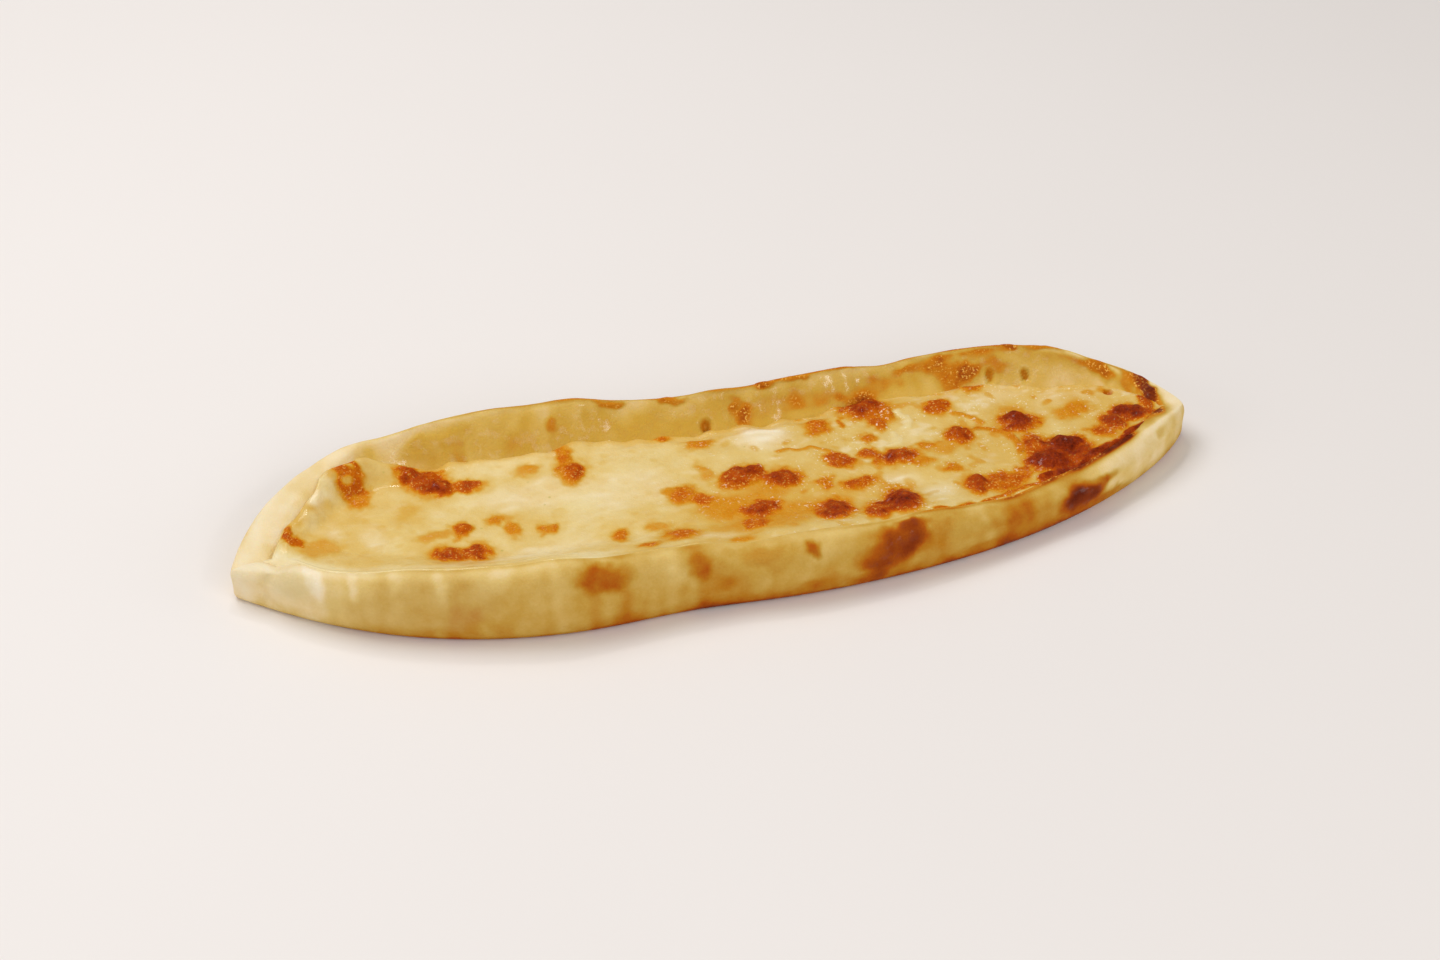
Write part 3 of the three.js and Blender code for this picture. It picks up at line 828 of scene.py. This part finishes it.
# relief and browning of the filling
filling = {
    "stations": 620,
    "across": 148,
    "level": 13.0,
    "tipDrop": 2.0,
    "sunk": 2.2,   # its edge runs this far into the dough
    "tipSunk": 2.0,   # and its points run this far under the rim's flat top
    "dive": 0.5,   # and dips there, per millimetre
    "slant": 0.65,   # how straight it climbs to the near rim
    "endClimb": 4.0,   # longer climb to the rim at the left end
    "growth": (1.1, 1.2),   # spots' length and width
    "clear": 2.5,   # relief fades out over this distance from the dough
    "wave": {"height": 0.5, "longX": 182.0, "longY": -57.0, "shortX": 82.0, "shortY": 107.0},
    "fullness": 1.5,
    # random layers: size, height, seed
    "layers": {
        "relief": [(13.0, 0.45, 40), (5.5, 0.2, 41), (2.4, 0.07, 42)],
        "wrinkles": [(5.0, 0.8, 46), (2.2, 0.35, 47)], "wrinkleTone": [(3.0, 0.14, 45)],
        "crumbs": [(2.2, 0.5, 50), (1.1, 0.22, 51)], "crumbTone": [(2.6, 0.09, 39), (1.2, 0.05, 30)],
        "warpAlong": [(5.5, 1.5, 31), (2.4, 0.7, 32)], "warpAcross": [(5.5, 1.5, 35), (2.4, 0.7, 36)],
        "ragged": [(1.8, 0.8, 37), (1.0, 0.5, 38)], "backEdge": [(4.5, 1.5, 34)],
        "patches": [(15.0, 0.07, 33), (4.5, 0.04, 34)], "golden": [(3.4, 1.0, 48)],
    },
    "strands": [(2.4, 1.0, 49)],   # on a plane that is squeezed and slanted
    "slanted": [[0.5, -0.25, 0], [0.5, 1, 0], [0, 0, 1]],
    "wrinkled": {"x": ramp(-106, -120), "fromBack": ramp(14, 4)},
    "creamy": 0.24,   # browning before all washes
    # washes of browning in each region, one of them painted light: amount, limits
    "washes": {
        "whole": [
            (-0.05, {"x": bell(-48, 36)}), (0.04, {"x": ramp(-84, -120)}), (0.02, {"x": ramp(-10, 40)}),
            (0.03, {"x": ramp(70, 110)}), (0.17, {"x": bell(8, 28), "y": bell(-18, 13)}),
            (-0.08, {"x": ramp(-20, -60), "fromFront": ramp(9, 0)}),
            (-0.1, {"x": ramp(-80, -115), "fromFront": ramp(9, 0)}),
            (0.1, {"x": span(-140, -115, -30, 10), "fromFront": ramp(4, 0.5)}),
            (0.14, {"x": span(-110, -96, 40, 70), "fromRaggedBack": ramp(4, -0.5)}),
        ],
        # the wrinkled slope at the left end is painted paler, as painted light against the shade it lies
        # in
        "wrinkled": [(-0.05, {})],
        "golden": [(0.05, {}), (0.09, {"x": ramp(-20, 30)})],
    },
    # blisters and browned places: x, y, length, width, turn, browning, rise
    "spots": [
        (-116, 32, 7, 4.5, 0, 0.7, 0.8), (-116, 28, 9, 7.5, 0, 0.68, 1.2),
        (-115.2, 22.5, 6, 8, 0, 0.56, 0.6), (-92.5, 25, 14, 10, -30, 0.75, 2.4),
        (-97.5, 30, 8, 6, 0, 0.8, 2.2), (-88, 21, 7, 7, 0, 0.81, 2.2),
        (-91, 28.5, 9, 5, -25, 0.76, 1.6), (-80, 19.8, 8.5, 5.5, -5, 0.7, 0.8),
        (-87.2, -2, 7.5, 7, 0, 0.71, 1.3), (-96, -3, 10, 4, 5, 0.44, 0.2),
        (-93.2, -14, 9, 10, 0, 0.73, 1.4), (-84.8, -15.5, 8, 9.5, 0, 0.75, 1.3),
        (-75.8, 1, 6.5, 4.5, 0, 0.54, 0.4), (-70.8, -5.5, 4, 10, 0, 0.52, 0.4),
        (-61.2, -9, 5.5, 6, 0, 0.58, 0.4), (-59.5, 23, 8, 5, 5, 0.48, 0.3),
        (-140.3, 8.2, 3.5, 6, 0, 0.66, 0.4), (-137.5, 4.8, 5, 4, -20, 0.64, 0.4),
        (-131.3, 0.8, 12, 9, 10, 0.42, 0.1), (-101.5, 12, 7, 9, 0, 0.36, 0.1),
        (-46.5, 17.5, 9, 13, -10, 0.6, 1.5), (-45.5, 17, 5, 5, 0, 0.76, 0.6),
        (-47.5, 28, 5, 12, 5, 0.58, 0.8), (-13, 30.5, 4, 3.5, 0, 0.62, 0.5),
        (-3.2, 22.5, 9, 6, -15, 0.54, 0.6), (5, -0.5, 14.5, 9.5, 20, 0.77, 2.0),
        (8.5, 2, 7, 6, 0, 0.82, 2.2), (17, -4, 13, 10, 0, 0.77, 2.0), (-15, -3, 9, 8, -35, 0.58, 0.8),
        (-10, -7.5, 8, 6, -35, 0.62, 0.8), (-18.5, -0.5, 5, 5, 0, 0.5, 0.4),
        (-5.5, 6, 3.5, 9, 0, 0.46, 0.3), (6, -17.5, 12, 9, 5, 0.77, 1.6),
        (2.2, -26.5, 9, 9, 5, 0.64, 0.9), (-4, -14, 20, 12, -10, 0.5, 0.2),
        (10, -9.5, 17, 7, 5, 0.48, 0.2), (18, -22, 22, 9, 5, 0.48, 0.3), (4, -27, 30, 11, 0, 0.46, 0.2),
        (-40.2, -19, 5.5, 6.5, 0, 0.58, 0.5), (-27.2, -18, 6, 4, -10, 0.48, 0.2),
        (-33.8, -32, 8, 5, 5, 0.58, 0.3), (-22.8, -27, 11, 10, 0, 0.6, 0.8),
        (-5.5, -36.5, 7, 3.5, 5, 0.52, 0.2), (55.5, 27, 15, 13, 0, 0.78, 3.0),
        (57, 17.5, 7, 8, 0, 0.64, 1.4), (62, 22, 7, 9, 0, 0.62, 1.6),
        (37, 20, 8.5, 7.5, -10, 0.62, 0.7), (45.5, 20.5, 2.5, 3, 0, 0.58, 0.2),
        (50.8, 9.5, 5.5, 5, 0, 0.62, 0.6), (38.5, 0, 11, 6, -25, 0.74, 1.4),
        (48, 1.5, 6.5, 5, -15, 0.67, 0.8), (57.2, -4, 13, 8.5, 5, 0.78, 1.8),
        (51, -3, 6, 5, 0, 0.66, 1.0), (29.8, -9.5, 6, 5, 0, 0.62, 0.6),
        (41, -12.8, 10.5, 6, 5, 0.7, 1.0), (28.2, -26, 11.5, 12.5, 0, 0.82, 2.2),
        (41, -31, 9, 10.5, 0, 0.76, 1.3), (50, -27.5, 13, 16, 0, 0.85, 3.0),
        (78.8, 19.5, 10, 6.5, 5, 0.7, 1.2), (80.8, 2.5, 8.5, 9, 0, 0.78, 2.4),
        (74, -2, 10, 8, 30, 0.46, 0.3), (68, -0.8, 5, 4.5, 0, 0.55, 0.3),
        (64.2, -9, 6, 4, 0, 0.55, 0.3), (71.5, -14.5, 5.5, 4, 0, 0.6, 0.4),
        (75.8, -25.5, 8.5, 10, 0, 0.78, 1.8), (85, -26.5, 16, 10, 8, 0.68, 0.7),
        (91.8, -23, 7, 6, 0, 0.64, 0.4), (102, 5, 13.5, 9.5, 10, 0.84, 2.6),
        (101.5, 12, 9, 5, 0, 0.46, 0.3), (121.5, 5.5, 13, 7, 8, 0.53, 0.4),
        (107, -15, 20, 15, -10, 0.72, 0.8), (102, -8, 9, 11, -15, 0.74, 1.4),
        (111.5, -11.5, 12, 8, -5, 0.92, 3.0), (104, -19.5, 15, 12, 5, 0.86, 2.2),
        (115.5, -18.5, 10, 7, 10, 0.8, 1.4), (93.5, 28.5, 9, 6, 0, 0.62, 0.8),
        (88, -8, 16, 12, 0, 0.31, 0.2), (138.5, -1, 12, 9, 10, 0.86, 2.2),
        (131.5, -5.5, 9, 10, 35, 0.82, 1.8), (126, -9.5, 7.5, 8, 20, 0.64, 0.8),
        (145, -2.5, 8, 5, 0, 0.7, 0.7), (147, 4.5, 5, 8, -20, 0.76, 0.8),
    ],
    # cheese skin pulled into lines: three points, width, browning, rise
    "ridges": [
        (((20, 10), (30, 11), (37, 4)), 1.6, 0.5, 0.5),
        (((87, 4.5), (97, 3), (96.2, -10.8)), 3.0, 0.56, 1.0),
        (((82, 15), (88, 14), (91, 8)), 2.6, 0.5, 0.4),
        (((66, 21), (69, 16), (65, 12)), 2.6, 0.16, 0.4),
        (((61, 10), (60, 6), (57, 3)), 2.6, 0.16, 0.4),
        (((58, -38), (82, -35.5), (103, -27.5)), 2.2, 0.64, 0.3),
        (((98, -28.5), (128, -21.5), (149, -4)), 4.4, 0.86, 0.9),
    ],
    # pale places inside browned ones: x, y, length, width, browning
    "pockets": [(-115.5, 32.2, 2.8, 1.8, 0.34), (-117, 28, 4, 3.2, 0.4), (139.5, -8, 7, 3, 0.46)],
    # milky places: x, y, length, width, turn, strength, rise
    "milk": [
        # the first is a milky lump whose white is partly a painted highlight
        (18, 19.5, 19, 16, -15, 1.0, 0.9), (-49.8, 31, 3.6, 2.4, 0, 1.0, 0.9),
        (-60, 10, 40, 16, 0, 0.3, 0), (-30, 4, 34, 20, 0, 0.28, 0), (-6.5, -31, 34, 7, 5, 0.3, 0),
        (50, -16, 22, 10, 0, 0.5, 0), (63, -25, 13, 9, 0, 0.4, 0), (-70, -22, 50, 10, 0, 0.25, 0),
        (122, 13, 22, 8, 0, 0.4, 0), (100, 21, 18, 7, 0, 0.3, 0), (-129, 21.5, 5, 7, -30, 0.7, 0.5),
        (-123, 28, 5, 4, 30, 0.6, 0.4), (-126, 8, 5, 12, 0, 0.4, 0), (-114, 2, 7, 16, 10, 0.35, 0),
    ],
    # small holes: x, y, radius, depth
    "holes": [(137, 12.3, 2.0, 1.8)],
}


def fillingContact(side, x):
    # where the filling meets the dough at this x, found by halving the range of t again and again
    low, high = -np.ones_like(x), np.ones_like(x)
    for _ in range(40):
        t = (low + high) / 2
        z = fillingEdge(side, t)
        inset = innerInset(side, t, z)
        short = t * (boat["halfLength"] - inset) < x
        low, high = np.where(short, t, low), np.where(short, high, t)
    return side["sign"] * bellyWidth(side, t) * (1 - inset / side["belly"]), z


class FillingGrid:
    # rows of points across the filling, from the right end to the left, and what is measured on them
    def __init__(self):
        u = np.linspace(1, -1, filling["stations"])
        end = np.sign(u)
        reach = boat["halfLength"] - crestInset(front, end) - bandWidth(front, end) + filling["tipSunk"]
        self.stations = reach * blend(u, np.sin(u * halfTurn / 2), 0.5)
        self.frontY, self.frontZ = fillingContact(front, self.stations)
        self.backY, self.backZ = fillingContact(back, self.stations)
        self.start, self.end = self.frontY - filling["sunk"], self.backY + filling["sunk"]
        share = np.linspace(0, 1, filling["across"])
        self.y = blend(self.start[:, None], self.end[:, None], share)
        self.x = np.broadcast_to(self.stations[:, None], self.y.shape)
        self.flat = np.stack([self.x, self.y, self.x * 0], -1)
        self.fromFront, self.fromBack = self.y - self.frontY[:, None], self.backY[:, None] - self.y
        self.inside = np.minimum(self.fromFront, self.fromBack)
        self.warpX = self.x + self.layer("warpAlong")
        self.warpY = self.y + self.layer("warpAcross")
        self.measures = {
            "x": self.x, "y": self.y, "fromFront": self.fromFront, "fromBack": self.fromBack,
            "fromRaggedBack": self.fromBack + self.layer("backEdge"),
        }
        self.wrinkled = limited(filling["wrinkled"], self.measures)

    def layer(self, name):
        return layered(self.flat, filling["layers"][name])

    def edge(self, atX, atY, long, wide, turn):
        # millimetres outside an ellipse on the filling, bent a little out of shape
        return spotEdge(self.warpX - atX, self.warpY - atY, long, wide, turn)


def fillingForm(grid):
    # level, climbing to its edges at the dough
    level = filling["level"] - filling["tipDrop"] * np.abs(grid.x / boat["halfLength"]) ** boat["tipFall"]
    slope = np.clip(grid.fromFront / front["climb"], 0, 1)
    frontShare = 1 - blend(smooth(0, 1, slope), slope, filling["slant"])
    backClimb = back["climb"] + filling["endClimb"] * smooth(-105, -125, grid.x)
    backShare = 1 - smooth(0, backClimb, grid.fromBack)
    climb = frontShare * (grid.frontZ[:, None] - level) + backShare * (grid.backZ[:, None] - level)
    return level + climb / np.maximum(frontShare + backShare, 1)


def fillingSwell(grid):
    # a short wave times a long one, with lumps, and wrinkles at the left end
    wave = filling["wave"]
    short = np.sin(2 * halfTurn * (grid.x / wave["shortX"] + grid.y / wave["shortY"]))
    long = np.cos(2 * halfTurn * (grid.x / wave["longX"] + grid.y / wave["longY"]))
    return wave["height"] * short * long + grid.layer("relief") + grid.wrinkled * grid.layer("wrinkles")


def fillingBrowning(grid):
    # creamy with patches, then washes: more golden to the left end and to the right
    regions = {"whole": 1.0, "wrinkled": grid.wrinkled, "golden": smooth(0.3, 0.75, grid.layer("golden"))}
    toast = filling["creamy"] + grid.layer("patches") + grid.wrinkled * grid.layer("wrinkleTone")
    return toast + washed(filling["washes"], regions, grid.measures)


def fillingMarks(grid, toast):
    # blisters with soft halos, lines of pulled skin, and pale places inside browned ones
    raised, halo = np.zeros_like(grid.x), np.zeros_like(grid.x)
    ragged = grid.layer("ragged")
    for atX, atY, spotLong, spotWide, turn, dark, rise in filling["spots"]:
        long, wide = spotLong * filling["growth"][0], spotWide * filling["growth"][1]
        edge = grid.edge(atX, atY, long, wide, turn) + ragged
        toast = np.maximum(toast, blend(toast, dark, spotShare(edge, long, wide, 0.5)))
        halo = np.maximum(halo, dark * (1 - smooth(0, 6, edge)))
        raised = np.maximum(raised, rise * spotDome(edge, long + 1, wide + 1) ** filling["fullness"])
    toast += 0.1 * halo * (1 - smooth(0.3, 0.5, toast))
    for ends, width, dark, rise in filling["ridges"]:
        away = lineReach(grid.warpX, grid.warpY, ends, width)
        drawn = blend(toast, dark, 1 - smooth(0.4, 1.3, away))
        toast = drawn if dark < 0.2 else np.maximum(toast, drawn)   # only pale skin lightens
        raised = np.maximum(raised, rise * np.clip(1 - away ** 2, 0, 1))
    for atX, atY, long, wide, pale in filling["pockets"]:
        edge = grid.edge(atX, atY, long, wide, 0)
        toast = blend(toast, np.minimum(toast, pale), 1 - smooth(-1.2, 0.6, edge))
    return toast, raised


def fillingMilk(grid, toast, oil):
    # milky places with fine strands in them, none where it is browned
    milk, raised = np.zeros_like(grid.x), np.zeros_like(grid.x)
    for atX, atY, long, wide, turn, strength, rise in filling["milk"]:
        edge = grid.edge(atX, atY, long, wide, turn)
        milk = np.maximum(milk, strength * (1 - smooth(-5, 2.5, edge)))
        raised = np.maximum(raised, rise * spotDome(edge, long, wide) ** filling["fullness"])
    strands = layered(grid.flat @ np.array(filling["slanted"]), filling["strands"])
    stringy = (0.05 + 0.27 * oil) * smooth(0.3, 0.8, strands)
    milk = np.clip(milk * (0.85 + 0.4 * strands) + stringy, 0, 1)
    return milk * (1 - smooth(0.25, 0.45, toast)), raised


def addFilling():
    grid = FillingGrid()
    # share along the boat, more to the right, of strands and of wet glints that are glossy and painted
    # pale
    oil = 0.15 + 0.85 * smooth(-40, 30, grid.x)
    toast, raised = fillingMarks(grid, fillingBrowning(grid))
    milk, milkRaised = fillingMilk(grid, toast, oil)
    crumbly = smooth(0.45, 0.68, toast)
    toast = toast + crumbly * grid.layer("crumbTone")
    raised = np.maximum(raised, milkRaised) + crumbly * grid.layer("crumbs")
    for atX, atY, radius, depth in filling["holes"]:
        away = np.hypot(grid.x - atX, grid.y - atY) / radius
        raised -= depth * (1 - smooth(0.5, 1.0, away))
        toast = blend(toast, np.maximum(toast, 0.6), 1 - smooth(0.5, 1.1, away))
    clear = smooth(0, filling["clear"], grid.inside)
    top = fillingForm(grid) + clear * (fillingSwell(grid) + raised)
    top -= filling["dive"] * np.clip(-grid.inside, 0, None)

    # back home below, inside the dough
    low = np.minimum(np.minimum(grid.frontZ, grid.backZ) - 1.5, boat["floorHeight"] + 1)
    under = [
        np.stack([grid.stations, blend(grid.end, grid.start, part), low], -1)
        for part in np.linspace(0.12, 0.88, 4)
    ]
    points = np.concatenate([np.stack([grid.x, grid.y, top], -1), np.stack(under, axis=1)], axis=1)
    rows, count = points.shape[:2]
    faces = gridFaces(rows, count)
    ends = np.arange(count)
    faces.append(ends[::-1].tolist())
    faces.append((ends + (rows - 1) * count).tolist())
    fields = {
        name: np.pad(values, ((0, 0), (0, len(under))), mode="edge")
        for name, values in {"toast": np.clip(toast, 0, 1), "milk": milk, "oil": oil}.items()
    }
    piece = addPiece("cheeseFilling", points, faces, fields, cheeseMaterial())
    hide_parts("labneh_cheese_filling")


addFilling()

# pale floor and soft studio light
studio = {
    "floor": tint(236, 230, 226),
    "floorShade": tint(220, 212, 206),
    "floorHalf": 3.0,
    "world": (1.0, 0.98, 0.96, 1.0),
    "worldStrength": 0.34,
    "aim": (0, 0, 0),
    # name, place, width, height, watts
    "lights": [
        ("skyLight", (-0.4, 0.5, 1.05), 0.8, 0.6, 7.2),
        ("frontFill", (0.1, -1.1, 0.7), 1.0, 0.6, 4.4),
        ("leftFill", (-1.1, -0.2, 0.5), 0.7, 0.5, 2.2),
        ("rightFill", (1.1, -0.4, 0.5), 0.7, 0.5, 2.0),
        ("backSheen", (0.1, 0.7, 1.15), 0.1, 0.1, 1.3),
        ("frontSheen", (0.5, -0.75, 0.8), 0.14, 0.14, 0.9),
    ],
}


def addStudio():
    half = studio["floorHalf"]
    mesh = bpy.data.meshes.new("floor")
    corners = [(-half, -half, 0), (half, -half, 0), (half, half, 0), (-half, half, 0)]
    mesh.from_pydata(corners, [], [(0, 1, 2, 3)])
    material, shader = newMaterial("paleFloor")
    shade = (0.12 * shader.noise(160.0, 2.0)).mixed(studio["floor"], studio["floorShade"])
    finishMaterial(shader, {"Base Color": shade, "Roughness": 0.6})
    mesh.materials.append(material)
    floor = addObject("floor", mesh)

    for name, place, width, height, watts in studio["lights"]:
        data = bpy.data.lights.new(name, "AREA")
        data.shape = "RECTANGLE"
        data.size, data.size_y = width, height
        data.energy = watts
        light = addObject(name, data)
        light.location = place
        light.rotation_euler = (Vector(studio["aim"]) - Vector(place)).to_track_quat("-Z", "Y").to_euler()
    world = bpy.data.worlds.new("softWorld")
    world.use_nodes = True
    sky = world.node_tree.nodes["Background"].inputs
    sky["Color"].default_value = studio["world"]
    sky["Strength"].default_value = studio["worldStrength"]
    bpy.context.scene.world = world
    bpy.context.scene.view_settings.view_transform = "Standard"


addStudio()
print("floor and lights placed")
